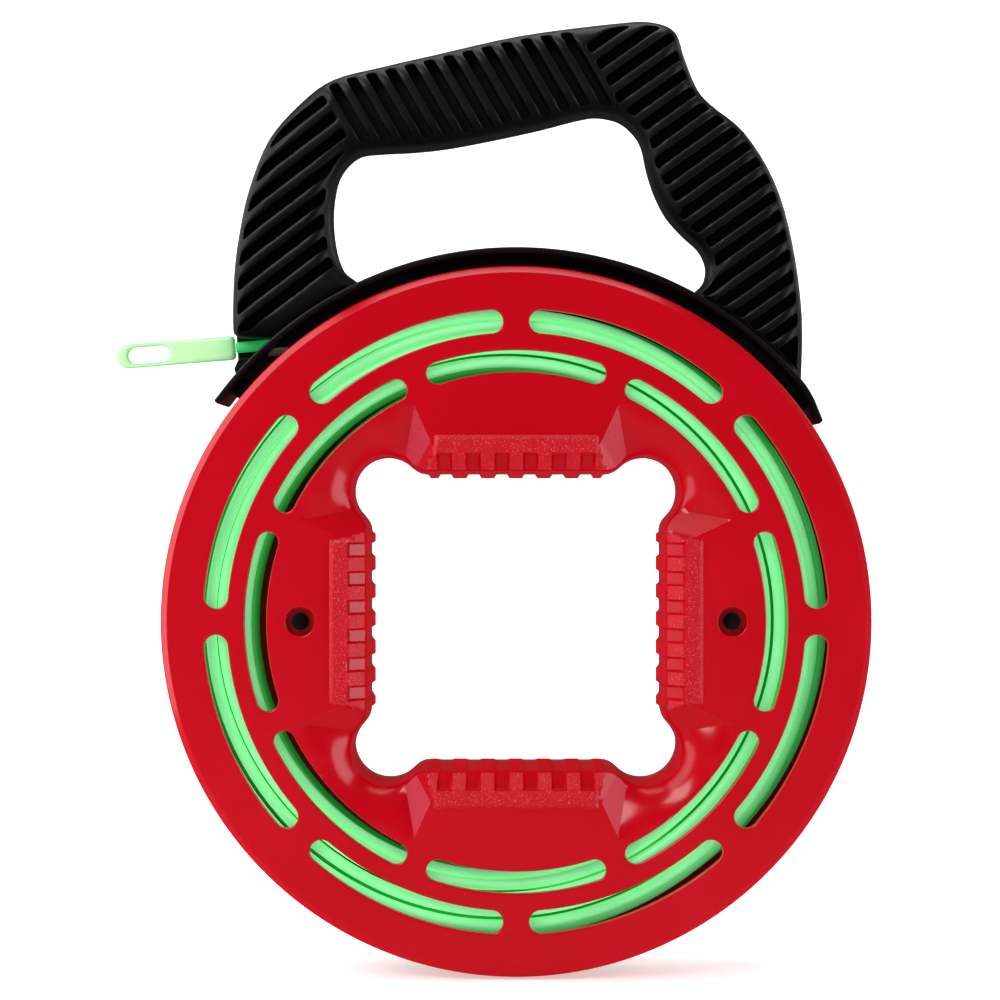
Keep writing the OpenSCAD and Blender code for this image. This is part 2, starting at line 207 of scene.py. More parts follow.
# The wound tape: a painted glow, brightest on the front turns, and painted shade on the turns behind.
TAPE = tape_plastic("green_fibreglass", (0.17, 0.72, 0.27, 1), (0.25, 0.82, 0.35, 1),
                    (0.3, 1.0, 0.4, 1), 0.42, depth_glow_and_shade=True)
# A darker copy of the tape's fibreglass for the straight run: painted shade, as it runs in the handle's
# shade, with a painted glow.
SHADED_RUN_TAPE = tape_plastic("green_fibreglass_run_painted_shade", (0.04, 0.5, 0.14, 1), (0.07, 0.62, 0.2, 1),
                   (0.02, 0.6, 0.12, 1), 0.35)
# The leader: a painted glow, with painted shade along its edges and before its shoulder.
LEADER = tape_plastic("leader_plastic", (0.5, 0.88, 0.44, 1), (0.6, 0.92, 0.52, 1),
                      (0.6, 1.0, 0.52, 1), 0.2, (400, 400, 400), rim=True)
GUIDE = guide_plastic()
BLACK_OXIDE = worn_metal("black_oxide", (0.03, 0.03, 0.035, 1), (0.14, 0.14, 0.15, 1), 0.08, 0.22)
STEEL = worn_metal("zinc_steel", (0.45, 0.45, 0.46, 1), (0.62, 0.62, 0.6, 1), 0.25, 0.5)


# ---------------------------------------------------------------- distances and outlines, seen along y
def smooth_min(a, b, k):
    h = np.clip(0.5 + 0.5 * (b - a) / k, 0, 1)
    return b + (a - b) * h - k * h * (1 - h)


def curve_through(points, steps=4):
    """A smooth open curve through every point."""
    p = np.array(points, float)
    q = np.vstack([2 * p[0] - p[1], p, 2 * p[-1] - p[-2]])
    t = (np.arange(steps) / steps)[:, None]
    rows = []
    for i in range(len(p) - 1):
        a, b, c, d = q[i:i + 4]
        rows.append(0.5 * (2 * b + (c - a) * t + (2 * a - 5 * b + 4 * c - d) * t ** 2
                           + (3 * b - 3 * c + d - a) * t ** 3))
    return np.vstack(rows + [p[-1:]])


def arc(radius, start, end, steps=24):
    a = np.radians(np.linspace(start, end, steps + 1))
    return np.stack([radius * np.cos(a), radius * np.sin(a)], 1)


def outline_distance(p, outline):
    """Signed distance from points to a closed outline, positive inside it."""
    best = np.full(len(p), 1e9)
    inside = np.zeros(len(p), bool)
    for (ax, az), (bx, bz) in zip(outline, np.roll(outline, -1, axis=0)):
        ex, ez = bx - ax, bz - az
        px, pz = p[:, 0] - ax, p[:, 1] - az
        t = np.clip((px * ex + pz * ez) / (ex * ex + ez * ez), 0, 1)
        best = np.minimum(best, (px - ex * t) ** 2 + (pz - ez * t) ** 2)
        crosses = (az > p[:, 1]) != (bz > p[:, 1])
        if ez != 0:
            inside ^= crosses & (p[:, 0] < ax + ex * (p[:, 1] - az) / ez)
    return np.where(inside, 1, -1) * np.sqrt(best)


def gradient(distance, p, e=0.01):
    x = np.array([[e, 0.0]])
    z = np.array([[0.0, e]])
    g = np.stack([distance(p + x) - distance(p - x), distance(p + z) - distance(p - z)], 1) / (2 * e)
    length = np.maximum(np.linalg.norm(g, axis=1, keepdims=True), 1e-6)
    return g, length


def onto_edge(distance, p, times=3):
    """Moves points along the slope of the distance until it is zero."""
    for _ in range(times):
        g, length = gradient(distance, p)
        step = distance(p)[:, None] * g / length ** 2
        p = p - np.clip(step, -0.8, 0.8)
    return p


def trimmed_sheet(distance, xs, zs):
    """Triangles over the part of a grid where the distance is positive, with edges cut to its outline."""
    nx, nz = len(xs), len(zs)
    gx, gz = np.meshgrid(xs, zs, indexing="ij")
    p = np.stack([gx.ravel(), gz.ravel()], 1)
    d = distance(p)
    pitch = np.minimum(np.diff(xs).min(), np.diff(zs).min())
    near = np.abs(d) < 0.35 * pitch
    p[near] = onto_edge(distance, p[near])
    d[near] = 0
    i, j = np.meshgrid(np.arange(nx - 1), np.arange(nz - 1), indexing="ij")
    a = (i * nz + j).ravel()
    b, c, e = a + nz, a + nz + 1, a + 1
    flip = ((i + j) % 2 == 0).ravel()
    first = np.where(flip[:, None], np.stack([a, b, c], 1), np.stack([a, b, e], 1))
    second = np.where(flip[:, None], np.stack([a, c, e], 1), np.stack([b, c, e], 1))
    triangles = np.vstack([first, second])
    signs = np.sign(d)[triangles]
    keep = (signs.min(1) >= 0) & (signs.max(1) > 0)
    flat = signs.max(1) == 0
    flat &= signs.min(1) == 0
    flat[flat] = distance(p[triangles[flat]].mean(1)) > 0
    mixed = triangles[(signs.min(1) < 0) & (signs.max(1) > 0)]
    whole = triangles[keep | flat]
    cuts = {}
    pairs = []
    extra = []

    def cut(u, v):
        key = (u, v) if u < v else (v, u)
        if key not in cuts:
            cuts[key] = len(p) + len(pairs)
            pairs.append(key)
        return cuts[key]

    for triangle in mixed:
        ring = []
        for k in range(3):
            u, v = int(triangle[k]), int(triangle[(k + 1) % 3])
            if d[u] >= 0:
                ring.append(u)
            if d[u] * d[v] < 0:
                ring.append(cut(u, v))
        for k in range(1, len(ring) - 1):
            extra.append((ring[0], ring[k], ring[k + 1]))
    if pairs:
        u, v = np.array(pairs).T
        t = (d[u] / (d[u] - d[v]))[:, None]
        made = onto_edge(distance, p[u] + (p[v] - p[u]) * t, 2)
        p = np.vstack([p, made])
        whole = np.vstack([whole, np.array(extra)])
    used, index = np.unique(whole, return_inverse=True)
    return p[used], index.reshape(-1, 3)


def split_sheet(plane, triangles, distance, pitch):
    """Cuts a sheet's triangles along the line where a distance is zero, and keeps both sides."""
    plane = plane.copy()
    d = distance(plane)
    rim = np.unique(np.concatenate(edge_loops(triangles)))
    near = np.abs(d) < 0.3 * pitch
    near[rim] = False
    plane[near] = onto_edge(distance, plane[near])
    d[near] = 0
    signs = np.sign(d)[triangles]
    crossed = (signs.min(1) < 0) & (signs.max(1) > 0)
    points, made, cuts = plane.tolist(), [], {}

    def cut(i, j):
        key = (i, j) if i < j else (j, i)
        if key not in cuts:
            t = d[key[0]] / (d[key[0]] - d[key[1]])
            cuts[key] = len(points)
            points.append((plane[key[0]] + (plane[key[1]] - plane[key[0]]) * t).tolist())
        return cuts[key]

    for triangle in triangles[crossed].tolist():
        for side in (1, -1):
            ring = []
            for i, j in zip(triangle, triangle[1:] + triangle[:1]):
                if side * d[i] >= 0:
                    ring.append(i)
                if d[i] * d[j] < 0:
                    ring.append(cut(i, j))
            made.extend((ring[0], ring[k], ring[k + 1]) for k in range(1, len(ring) - 1))
    return np.array(points), np.vstack([triangles[~crossed], np.array(made)])


def edge_loops(triangles):
    """Closed loops of the vertices along a sheet's edges, with the sheet on the left."""
    edges = np.vstack([triangles[:, [0, 1]], triangles[:, [1, 2]], triangles[:, [2, 0]]])
    present = set(map(tuple, edges.tolist()))
    following = {}
    for u, v in present:
        if (v, u) not in present:
            following.setdefault(u, []).append(v)
    loops = []
    while following:
        start = next(iter(following))
        loop = [start]
        while True:
            options = following[loop[-1]]
            step = options.pop()
            if not options:
                del following[loop[-1]]
            if step == start or step not in following:
                break
            loop.append(step)
        if len(loop) > 3:
            loops.append(np.array(loop))
    return loops


class Relief:
    """One side of a moulding: a trimmed face with heights, and walls swept along its edges.

    Heights are measured from the middle plane. The same points serve the front, where y is minus the
    height, and the back, where y is the height."""

    def __init__(self):
        self.points = []
        self.faces = []
        self.grain_and_painted_light = []
        self.count = 0

    def add(self, plane, height, faces=(), grain_and_painted_light=0.0):
        height = np.broadcast_to(height, len(plane)).astype(float)
        self.points.append(np.column_stack([plane, height]))
        self.grain_and_painted_light.extend(np.broadcast_to(grain_and_painted_light, len(faces)).astype(float).tolist())
        self.faces.extend((np.asarray(faces) + self.count).tolist())
        start = self.count
        self.count += len(plane)
        return start

    def wall(self, loop, plane, distance, profile, start, grain_and_painted_light=0.0):
        """Sweeps a profile along a loop of existing vertices. Each step of the profile is (how far out,
        height). The first may be a function of the loop's points, and the second of the points there."""
        rim = plane[loop]
        g, length = gradient(distance, rim)
        out = -g / length
        n = len(loop)
        before = start + loop
        for offset, height in profile:
            reach = offset(rim)[:, None] if callable(offset) else offset
            at = rim + out * reach
            level = height(at) if callable(height) else height
            k = np.arange(n)
            now = self.add(at, level) + k
            self.join(np.column_stack([before, now, np.roll(now, -1), np.roll(before, -1)]), grain_and_painted_light)
            before = now
        return before

    def join(self, faces, grain_and_painted_light=0.0):
        """Faces between points that are already there."""
        self.faces.extend(faces.tolist())
        self.grain_and_painted_light.extend([grain_and_painted_light] * len(faces))

    def piece(self, name, side, material, smooth=40):
        """A mesh object. side is -1 for the front and 1 for the back, or 0 for both halves in one."""
        p = np.vstack(self.points)
        points, faces = [], []
        sides = [-1, 1] if side == 0 else [side]
        for s in sides:
            start = sum(len(q) for q in points)
            points.append(np.column_stack([p[:, 0], s * p[:, 2], p[:, 1]]))
            for face in self.faces:
                face = face if s < 0 else face[::-1]
                faces.append([start + v for v in face])
        return mesh_piece(name, np.vstack(points), faces, material, smooth, self.grain_and_painted_light * len(sides))


def mesh_piece(name, points, faces, material, smooth=40, grain_and_painted_light=None):
    mesh = bpy.data.meshes.new(name)
    mesh.from_pydata((np.asarray(points) * MM).tolist(), [], faces)
    if grain_and_painted_light is not None:
        mesh.attributes.new("grain_and_painted_light", "FLOAT", "FACE").data.foreach_set("value", grain_and_painted_light)
    mesh.materials.append(material)
    mesh.validate()
    mesh.shade_smooth()
    mesh.set_sharp_from_angle(angle=math.radians(smooth))
    piece = bpy.data.objects.new(name, mesh)
    bpy.context.scene.collection.objects.link(piece)
    return piece


def fillet(radius, top, steps=5):
    """Profile steps for a rounded edge that starts level and ends straight down."""
    angles = [math.pi / 2 * k / steps for k in range(1, steps + 1)]
    return [(radius * math.sin(a), top - radius * (1 - math.cos(a))) for a in angles]


# ---------------------------------------------------------------- case
CASE_R = 152.5
HALF_T = 28
WALL = 3
PARTING_HALF = 0.2
RIM_ROUND = 4
RIM_DROP = 2.3
GAP_HALF = 6
HUB_R = 102
RIM_DRAFT = 0.8
OPENING = 63.9
OPENING_DRAFT = 1.05
RIB_DRAFT = 1.65
NOTCH_AT = 55.5
NOTCH_R = 15.5
BAR_TOP = 29.5
SLOPE_END = OPENING + 7
BAR_OUTER = 79.5
BAR_HALF_INNER = 38.2
BAR_HALF_OUTER = 34.2
WINDOW_PITCH = 12.2
WINDOW_HALF = 2.3
FLANK = 1.0
BAR_FLANK = 1.4
EDGE_ROUND = 0.8
SCREW_AT = 92
SCREW_BORE_R = 6.2
SCREW_BORE_DEPTH = 5
SCREW_BORE_EDGE = 0.5
SLOT_PITCH = math.pi / 4
SLOT_HALF_ANGLE = math.radians(20)
OUTER_SLOT_R = 128.2
OUTER_SLOT_W = 10
INNER_SLOT_R = 111
INNER_SLOT_W = 9.2
SLOT_EDGE = 0.7
LAND_DROP = 9.5
LAND_REACH = 17
LAND_CURVE = 2.3
BAR_BACK_CHAMFER = 1.5
WINDOW_DROP = 8
WINDOW_SLOPE = 0.77
WINDOW_DEPTH = 2.6
FINE_GRID_R = 96


def folded(p):
    """Along and across the nearest grip bar, both positive."""
    a = np.abs(p)
    return a.min(1), a.max(1)


def bar_end(v):
    share = (v - OPENING) / (BAR_OUTER - OPENING)
    return BAR_HALF_INNER - (BAR_HALF_INNER - BAR_HALF_OUTER) * np.clip(share, -0.3, 1)


def window_share(u):
    """1 in the windows between a bar's ribs, 0 on the ribs, and in between on their flanks."""
    across = np.abs(np.mod(u, WINDOW_PITCH) - WINDOW_PITCH / 2)
    return np.clip((WINDOW_HALF + FLANK - across) / FLANK, 0, 1) * (u < 3 * WINDOW_PITCH)


def opening_distance(p):
    """Distance out from the edge of the opening in either face."""
    u, v = folded(p)
    notch = np.hypot(u - NOTCH_AT, v - NOTCH_AT) - NOTCH_R
    return smooth_min(v - OPENING, notch, 3.0)


def opening_draft(p):
    """How much narrower the opening is at the parting plane. The ribs stand out there."""
    u, v = folded(p)
    rib = (1 - window_share(u)) * np.clip((bar_end(OPENING) - u) / FLANK, 0, 1) * (v < SLOPE_END)
    return EDGE_ROUND + OPENING_DRAFT + RIB_DRAFT * rib


def slot_distance(p, radius, width, first):
    half = SLOT_HALF_ANGLE - math.asin(width / 2 / radius)
    turned = np.arctan2(p[:, 1], p[:, 0]) - first
    angle = np.mod(turned + SLOT_PITCH / 2, SLOT_PITCH) - SLOT_PITCH / 2
    beyond = np.maximum(np.abs(angle) - half, 0)
    r = np.hypot(p[:, 0], p[:, 1])
    return np.sqrt(np.maximum(r ** 2 + radius ** 2 - 2 * r * radius * np.cos(beyond), 0)) - width / 2


def slots_distance(p):
    outer = slot_distance(p, OUTER_SLOT_R, OUTER_SLOT_W, SLOT_PITCH / 2)
    inner = slot_distance(p, INNER_SLOT_R, INNER_SLOT_W, 0)
    return np.minimum(outer, inner)


def screw_distance(p):
    return np.hypot(np.abs(p[:, 0]) - SCREW_AT, p[:, 1]) - SCREW_BORE_R


# The textured facet beside each bar's end, as points (along the bar, across it): the tip by the opening,
# the two ends of the crease where it leaves the flat face, and the low corner beside the notch.
FACET_TIP = (43.0, 65.2)
CREASE_NEAR = (36.4, 76.9)
CREASE_FAR = (43.3, 91.7)
FACET_LOW = (47.3, 71.2)
FACET = np.array([FACET_TIP, FACET_LOW, CREASE_FAR, CREASE_NEAR])
FACET_SLOPE = 0.58
LAND_BLEND = 13


def facet_distance(p):
    """Positive on the facets."""
    return outline_distance(np.stack(folded(p), 1), FACET)


def past_line(u, v, start, end):
    """Distance past the line from start to end, on its right."""
    (su, sv), (eu, ev) = start, end
    return ((u - su) * (ev - sv) - (v - sv) * (eu - su)) / math.hypot(eu - su, ev - sv)


def foot_on(u, v, start, end):
    """The nearest point of a stretch of line."""
    (su, sv), (eu, ev) = start, end
    du, dv = eu - su, ev - sv
    t = np.clip(((u - su) * du + (v - sv) * dv) / (du * du + dv * dv), 0, 1)
    return su + t * du, sv + t * dv


def corner_land(u, v):
    notch = np.hypot(u - NOTCH_AT, v - NOTCH_AT) - NOTCH_R
    return HALF_T - LAND_DROP * np.clip(1 - notch / LAND_REACH, 0, 1) ** LAND_CURVE


def facet_height(u, v):
    return HALF_T - FACET_SLOPE * np.maximum(past_line(u, v, CREASE_NEAR, CREASE_FAR), 0)


def base_height(u, v):
    """The face round a bar: the facet's plane, and the corner's rounded land, which bends to meet it."""
    land = corner_land(u, v)
    beyond = np.maximum(past_line(u, v, FACET_TIP, FACET_LOW), past_line(u, v, FACET_LOW, CREASE_FAR))
    feet = [foot_on(u, v, FACET_TIP, FACET_LOW), foot_on(u, v, FACET_LOW, CREASE_FAR)]
    away = [np.hypot(u - fu, v - fv) for fu, fv in feet]
    fu, fv = (np.where(away[0] < away[1], first, second) for first, second in zip(*feet))
    gap = facet_height(fu, fv) - corner_land(fu, fv)
    right = land + gap * np.clip(1 - np.minimum(*away) / LAND_BLEND, 0, 1) ** 2
    left = np.minimum(facet_height(u, v), HALF_T)
    return np.where(beyond > 0, right, np.where(v < CREASE_FAR[1], left, land))


def bar_height(u, v):
    slope = BAR_TOP - SLOPE_END + v
    top = np.minimum(slope, BAR_TOP)
    past_flat = v - BAR_OUTER + BAR_BACK_CHAMFER
    top = np.where(past_flat > 0, BAR_TOP - past_flat, top)
    sloped = BAR_TOP - WINDOW_DROP + WINDOW_SLOPE * (v - OPENING)
    window = np.minimum(sloped, BAR_TOP - WINDOW_DEPTH)
    step = np.clip((v - SLOPE_END) / FLANK, 0, 1)
    window = window + (top - window) * step
    share = window_share(u)
    return top + (np.minimum(window, top) - top) * share


def face_height(p):
    u, v = folded(p)
    base = base_height(u, v)
    end = bar_end(v)
    on_bar = np.clip((end - u) / BAR_FLANK, 0, 1) * (v < BAR_OUTER)
    return np.where(on_bar > 0, base + (bar_height(u, v) - base) * on_bar, base)


def face_grain(p):
    """How the moulding is textured: 1 on the ribs and the bars' flat tops, 2 on the facets beside the top
    and bottom bars. The facets beside the left and right bars are smooth. The material paints pale glints
    into the stipple of 1 and a lighter pink sheen onto the facets of 2: painted highlights."""
    u, v = folded(p)
    bar = (u < bar_end(v)) & (v < BAR_OUTER)
    window = (window_share(u) > 0) & (v < SLOPE_END + FLANK)
    facet = (facet_distance(p) > 0) & (np.abs(p[:, 1]) > np.abs(p[:, 0]))
    return np.where(facet, 2.0, np.where(bar & ~window, 1.0, 0.0))


def spaced(limits, fine, coarse):
    """Grid lines both ways from the middle, fine inside the first limit and coarse up to the second.
    Some follow the ribs' flanks."""
    inner, outer = limits
    lines = list(np.arange(0, inner, fine)) + list(np.arange(inner, outer + coarse, coarse))
    edges = [k * WINDOW_PITCH + WINDOW_PITCH / 2 + s * e
             for k in range(3) for s in (-1, 1) for e in (WINDOW_HALF, WINDOW_HALF + FLANK)]
    edges += [SLOPE_END, SLOPE_END + FLANK, BAR_OUTER - BAR_BACK_CHAMFER, BAR_OUTER]
    lines = [x for x in lines if min(abs(x - e) for e in edges) > 0.35 * fine] + edges
    lines = sorted(lines)
    return np.array([-x for x in lines[:0:-1]] + lines)


def case_half(has_slots):
    """One shell, as a relief whose heights are measured from the parting plane."""
    terms = [lambda p: CASE_R - RIM_ROUND - np.hypot(p[:, 0], p[:, 1]),
             lambda p: opening_distance(p) - EDGE_ROUND]
    if has_slots:
        terms += [lambda p: slots_distance(p) - SLOT_EDGE, lambda p: screw_distance(p) - SCREW_BORE_EDGE]

    def region(p):
        return np.minimum.reduce([term(p) for term in terms])

    lines = spaced((FINE_GRID_R, CASE_R), 1.0, 1.5)
    plane, triangles = trimmed_sheet(region, lines, lines)
    plane, triangles = split_sheet(plane, triangles, facet_distance, 1.0)
    relief = Relief()
    start = relief.add(plane, face_height(plane), triangles, face_grain(plane[triangles].mean(1)))
    for loop in edge_loops(triangles):
        here = plane[loop]
        kind = int(np.argmin([np.abs(term(here)).mean() for term in terms]))
        if kind == 0:
            # The face rolls over into the rim, which runs back to the gap and turns in behind its lip.
            outer = RIM_ROUND - RIM_DRAFT
            profile = [(0.2, HALF_T - 0.07), (outer - 0.6, HALF_T - RIM_DROP),
                       (outer - 0.25, HALF_T - RIM_DROP - 0.4), (outer, HALF_T - RIM_DROP - 1.1)]
            profile += [(RIM_ROUND, GAP_HALF + 0.6), (RIM_ROUND - 0.6, GAP_HALF),
                        (RIM_ROUND - WALL, GAP_HALF), (RIM_ROUND - WALL, HALF_T - WALL)]
            relief.wall(loop, plane, region, profile, start)
        elif kind == 1:
            round_edge = [(EDGE_ROUND * math.sin(a),
                           lambda q, a=a: face_height(q) - EDGE_ROUND * (1 - math.cos(a)))
                          for a in np.radians((18, 36, 54, 72, 90))]
            to_parting = round_edge + [(opening_draft, PARTING_HALF)]
            relief.wall(loop, plane, region, to_parting, start, -1.0)
        elif kind == 2:
            profile = fillet(SLOT_EDGE, HALF_T) + [(SLOT_EDGE, HALF_T - WALL)]
            relief.wall(loop, plane, region, profile, start)
        else:
            profile = fillet(SCREW_BORE_EDGE, HALF_T)
            profile += [(SCREW_BORE_EDGE, HALF_T - SCREW_BORE_DEPTH)]
            ring = relief.wall(loop, plane, region, profile, start)
            relief.join(ring[None, ::-1])
    turn = np.radians(np.arange(0, 360, 3))
    hub = np.stack([HUB_R * np.cos(turn), HUB_R * np.sin(turn)], 1)
    low = relief.add(hub, 0)
    high = relief.add(hub, HALF_T - WALL)
    k = np.arange(len(turn))
    relief.join(np.column_stack([low + k, low + np.roll(k, -1), high + np.roll(k, -1), high + k]))
    return relief


front = case_half(True).piece("case_front", -1, RED, 22)
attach(front, "case")
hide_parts("front_shell")
rear = case_half(False).piece("case_rear", 1, RED, 22)
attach(rear, "case")
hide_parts("rear_shell")

# ---------------------------------------------------------------- handle
HANDLE_HALF_T = 18
EDGE_HALF_T = 8
PILLOW = 10
GROOVE_DEPTH = 12
GROOVE_W = 4.6
GROOVE_PITCH = 8.15
GROOVE_BORDER = 2.5
GROOVE_EDGE_W = 0.9
GROOVE_EDGE_DROP = 0.45
EDGE_STRIP = 1.2
SADDLE_R = 160.4
SADDLE_T = 2.6
SADDLE_HALF_W = 20
SADDLE_SPAN = (33, 144)
SADDLE_LEAN = 3.2
LEAN_ANGLE = math.radians(6.5)
WEB_HALF_W = 5.4
WEB_SPAN = (36, 141.5)
WEB_LOW_R = 148
FOOT_HALF_W = 18
FOOT_SPAN = (40, 140)
FOOT_R = (146, 149.2)
GRIP_LOW_R = 159.5
MOUTH_HALF_W = 14
handle_outline = np.vstack([curve_through([
    (-120.2, 122.2), (-122.6, 125.5), (-122.2, 149), (-119.8, 168), (-115.5, 187), (-107, 208),
    (-93, 224), (-79, 234), (-58, 239.5), (-34, 245), (2, 253), (43, 258.3), (59, 258.8),
    (69, 254.5), (73, 243.5), (78, 231), (84, 223.5), (99, 211), (112, 190), (119.7, 164),
    (124, 132), (123.6, 101)]),
    arc(157, 39.3, 129.2)])
hole_outline = np.vstack([curve_through([
    (-66, 143), (-69, 146.4), (-74.5, 151), (-78.3, 160), (-80, 173), (-79.3, 185), (-76.3, 195),
    (-69, 202.3), (-60, 203.9), (-44, 204.8), (-26, 207), (6, 213.5), (27, 218.8), (36, 220),
    (45, 218), (51, 213.3), (55, 207), (57.5, 196), (61, 185.5), (66, 176), (73, 168),
    (80, 161.5), (83.2, 155), (83, 149), (80.5, 144.8), (74, 139)]),
    arc(156, 62, 114.7)])
# Groove families: direction in degrees, distance of the first groove from the origin, step to the next,
# and count.
LEFT_GROOVES = (37.3, 228.2, -GROOVE_PITCH, 8)
TOP_GROOVES = (-60, 47.1, GROOVE_PITCH, 13)
RIGHT_GROOVES = (35.4, 182.35, -GROOVE_PITCH, 19)
LEFT_ZONE_END = 41.3
RIGHT_ZONE_START = 149.6
LEG_TOP = 175
GROOVE_FLOOR_R = 162
# The toe of the right leg is one pocket, below the last rib.
TOE_POCKET = RIGHT_GROOVES[1] + RIGHT_GROOVES[2] * RIGHT_GROOVES[3] + GROOVE_W / 2


def along_normal(p, degrees):
    a = math.radians(degrees)
    return p[:, 1] * math.cos(a) - p[:, 0] * math.sin(a)


def family_distance(p, family):
    direction, first, step, count = family
    t = along_normal(p, direction)
    nearest = first + step * np.clip(np.round((t - first) / step), 0, count - 1)
    return GROOVE_W / 2 - np.abs(t - nearest)


def handle_depth(p):
    """Distance in from the handle's outer edge or from the hand hole's edge."""
    return np.minimum(outline_distance(p, handle_outline), -outline_distance(p, hole_outline))


def groove_distance(p, depth):
    """Positive inside the grooves."""
    zone = along_normal(p, TOP_GROOVES[0])
    left = smooth_min(family_distance(p, LEFT_GROOVES), LEFT_ZONE_END - zone, 1.5)
    right_zone = np.where((p[:, 1] < LEG_TOP) & (p[:, 0] > 0), GROOVE_W, zone - RIGHT_ZONE_START)
    toe = np.minimum(TOE_POCKET - along_normal(p, RIGHT_GROOVES[0]), GROOVE_W)
    right = smooth_min(np.maximum(family_distance(p, RIGHT_GROOVES), toe), right_zone, 1.5)
    top = np.minimum(family_distance(p, TOP_GROOVES), p[:, 1] - LEG_TOP)
    grooves = np.maximum.reduce([left, right, top])
    border = np.minimum(depth - GROOVE_BORDER, np.hypot(p[:, 0], p[:, 1]) - GROOVE_FLOOR_R)
    return smooth_min(grooves, border, 1.5)


def pillow_height(depth):
    """The handle's section: flat in the middle and well rounded towards its edges."""
    inward = np.clip(depth / PILLOW, 0, 1)
    return EDGE_HALF_T + PILLOW * np.sqrt(np.clip(1 - (1 - inward) ** 2, 0, 1))


def handle_relief():
    def outer_region(p):
        return np.minimum(handle_depth(p) - EDGE_STRIP, np.hypot(p[:, 0], p[:, 1]) - GRIP_LOW_R)

    def region(p):
        depth = handle_depth(p)
        ribs = np.minimum(depth - EDGE_STRIP, -groove_distance(p, depth))
        return np.minimum(ribs, np.hypot(p[:, 0], p[:, 1]) - GRIP_LOW_R)

    step = 0.7
    xs, zs = np.arange(-124.5, 126, step), np.arange(94, 261, step)
    plane, triangles = trimmed_sheet(region, xs, zs)
    depth = handle_depth(plane)
    clear = np.clip(-groove_distance(plane, depth) / GROOVE_EDGE_W, 0, 1)
    relief = Relief()
    height = pillow_height(depth) - GROOVE_EDGE_DROP * (1 - clear) ** 2
    start = relief.add(plane, height, triangles)
    floor_height = HANDLE_HALF_T - GROOVE_DEPTH
    for loop in edge_loops(triangles):
        here = plane[loop]
        if np.abs(outer_region(here)).mean() < 0.2:
            offsets = EDGE_STRIP * np.array([0.25, 0.5, 0.7, 0.85, 0.95, 1])
            profile = [(s, float(pillow_height(EDGE_STRIP - s))) for s in offsets]
            relief.wall(loop, plane, outer_region, profile + [(EDGE_STRIP, 0)], start)
        else:
            halfway = (HANDLE_HALF_T + floor_height) / 2
            relief.wall(loop, plane, region, [(0, halfway), (0, floor_height)], start)
    coarse_x, coarse_z = np.arange(-124, 126, 2.2), np.arange(94, 260, 2.2)
    floors, floor_triangles = trimmed_sheet(lambda p: outer_region(p) - 0.3, coarse_x, coarse_z)
    relief.add(floors, floor_height, floor_triangles)
    return relief


handle = handle_relief().piece("handle_grip", 0, BLACK, 50)
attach(handle, "handle")


def arc_bar(name, inner, outer, half_width, start, end, edge, material, lean=0):
    """A curved bar of rectangular section with rounded edges, like a stretch of a hoop. Its first end
    may lean in towards the middle."""
    corners = [(outer - edge, half_width - edge, 0), (inner + edge, half_width - edge, 90),
               (inner + edge, edge - half_width, 180), (outer - edge, edge - half_width, 270)]
    section = [(r + edge * math.cos(turn), y + edge * math.sin(turn))
               for r, y, a in corners for turn in np.radians(a + 22.5 * np.arange(5))]
    count = len(section)
    angles = np.radians(np.linspace(start, end, int((end - start) / 1.2) + 1))
    # Rings close to each end draw in, which rounds it.
    for k, turn in enumerate(np.radians((0.12, 0.3)), 1):
        angles[k] = angles[0] + turn
        angles[-1 - k] = angles[-1] - turn
    shrink = [1 - edge / half_width * s for s in (1.0, 0.35)] + [1] * (len(angles) - 4)
    shrink += [1 - edge / half_width * s for s in (0.35, 1.0)]
    middle = (inner + outer) / 2
    points = []
    for angle, k in zip(angles, shrink):
        leaning = lean * max(1 - (angle - angles[0]) / LEAN_ANGLE, 0) ** 1.5
        for r, y in section:
            narrowed = 1 - (1 - k) * half_width / (outer - middle) * 0.8
            radius = middle + (r - middle) * narrowed - leaning
            points.append((radius * math.cos(angle), y * k, radius * math.sin(angle)))
    faces = []
    for i in range(len(angles) - 1):
        for j in range(count):
            a, b = i * count + j, i * count + (j + 1) % count
            faces.append((a, b, b + count, a + count))
    faces.append(tuple(range(count))[::-1])
    faces.append(tuple((len(angles) - 1) * count + j for j in range(count)))
    return mesh_piece(name, points, faces, material, 50)


def plate_piece(name, outline, low, high, edge, material):
    """A flat plate between two depths, with its edges rounded by a modifier."""
    count = len(outline)
    points = [(x, low, z) for x, z in outline] + [(x, high, z) for x, z in outline]
    sides = [(i, (i + 1) % count, count + (i + 1) % count, count + i) for i in range(count)]
    faces = [tuple(range(count))[::-1], tuple(range(count, 2 * count))] + sides
    piece = mesh_piece(name, points, faces, material, 50)
    turned = sum(x0 * z1 - x1 * z0 for (x0, z0), (x1, z1) in zip(outline, outline[1:] + outline[:1]))
    if turned > 0:
        piece.data.flip_normals()
    soften(piece, edge)
    return piece


def soften(piece, edge):
    """Rounds the sharp edges of a piece."""
    bevel = piece.modifiers.new("edges", "BEVEL")
    bevel.width = edge * MM
    bevel.segments = 3
    bevel.limit_method = "ANGLE"
    bevel.angle_limit = math.radians(35)
    bevel.harden_normals = True


